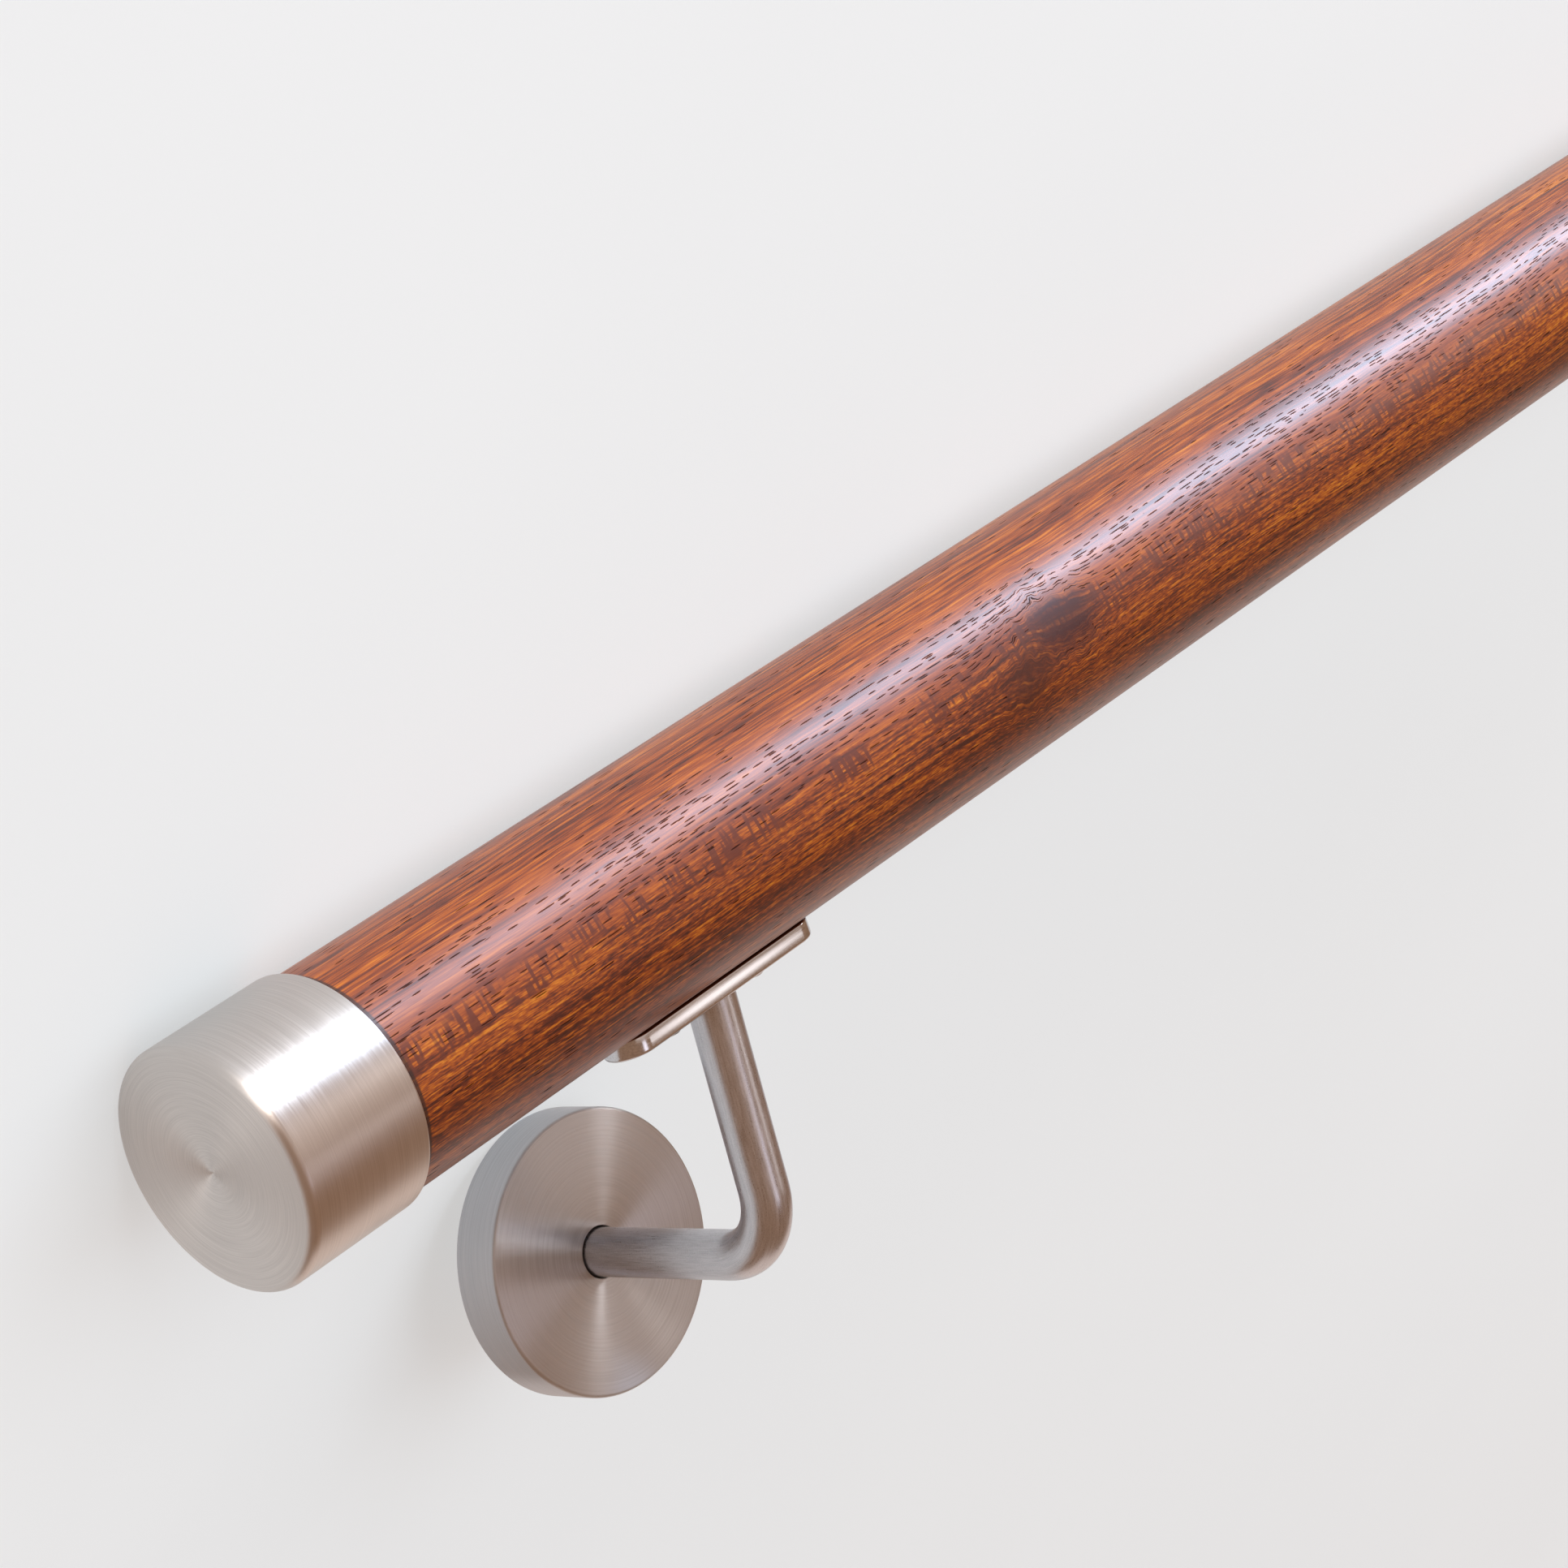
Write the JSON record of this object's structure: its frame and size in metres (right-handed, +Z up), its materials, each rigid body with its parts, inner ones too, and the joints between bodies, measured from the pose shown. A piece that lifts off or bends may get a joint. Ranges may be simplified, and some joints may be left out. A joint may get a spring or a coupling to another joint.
{
  "type": "stair handrail length",
  "caption": "Straight round wooden stair handrail length with brushed steel end caps and bent-rod wall brackets under cover rosettes, lying wall side down.",
  "frame": {"origin": "middle of the bounding box, on the floor that the length lies on", "axes": "+X along the rail towards its lower, pictured end; +Y towards the wall brackets; +Z up as it lies on the floor, wall side down, on its end caps and the rims of its rosettes"},
  "size_m": [1.004, 0.1778, 0.0805],
  "materials": {
    "varnished_hardwood": "satin varnish",
    "brushed_steel_cap": "brushed",
    "turned_steel_rosette": "turned",
    "satin_steel_rod": "satin",
    "polished_steel_saddle": "polished",
    "plain_steel_flange": "as rolled",
    "steel_screw": "plain"
  },
  "bodies": {
    "root": {"handrail": "varnished_hardwood", "end_cap_lower": "brushed_steel_cap", "wall_flange_lower": "plain_steel_flange", "cover_rosette_lower": "turned_steel_rosette", "bracket_arm_lower": "satin_steel_rod", "saddle_plate_lower": "polished_steel_saddle", "saddle_screw_lower_1": "steel_screw", "saddle_screw_lower_2": "steel_screw", "end_cap_upper": "brushed_steel_cap", "wall_flange_upper": "plain_steel_flange", "cover_rosette_upper": "turned_steel_rosette", "bracket_arm_upper": "satin_steel_rod", "saddle_plate_upper": "polished_steel_saddle", "saddle_screw_upper_1": "steel_screw", "saddle_screw_upper_2": "steel_screw"}
  },
  "joints": []
}
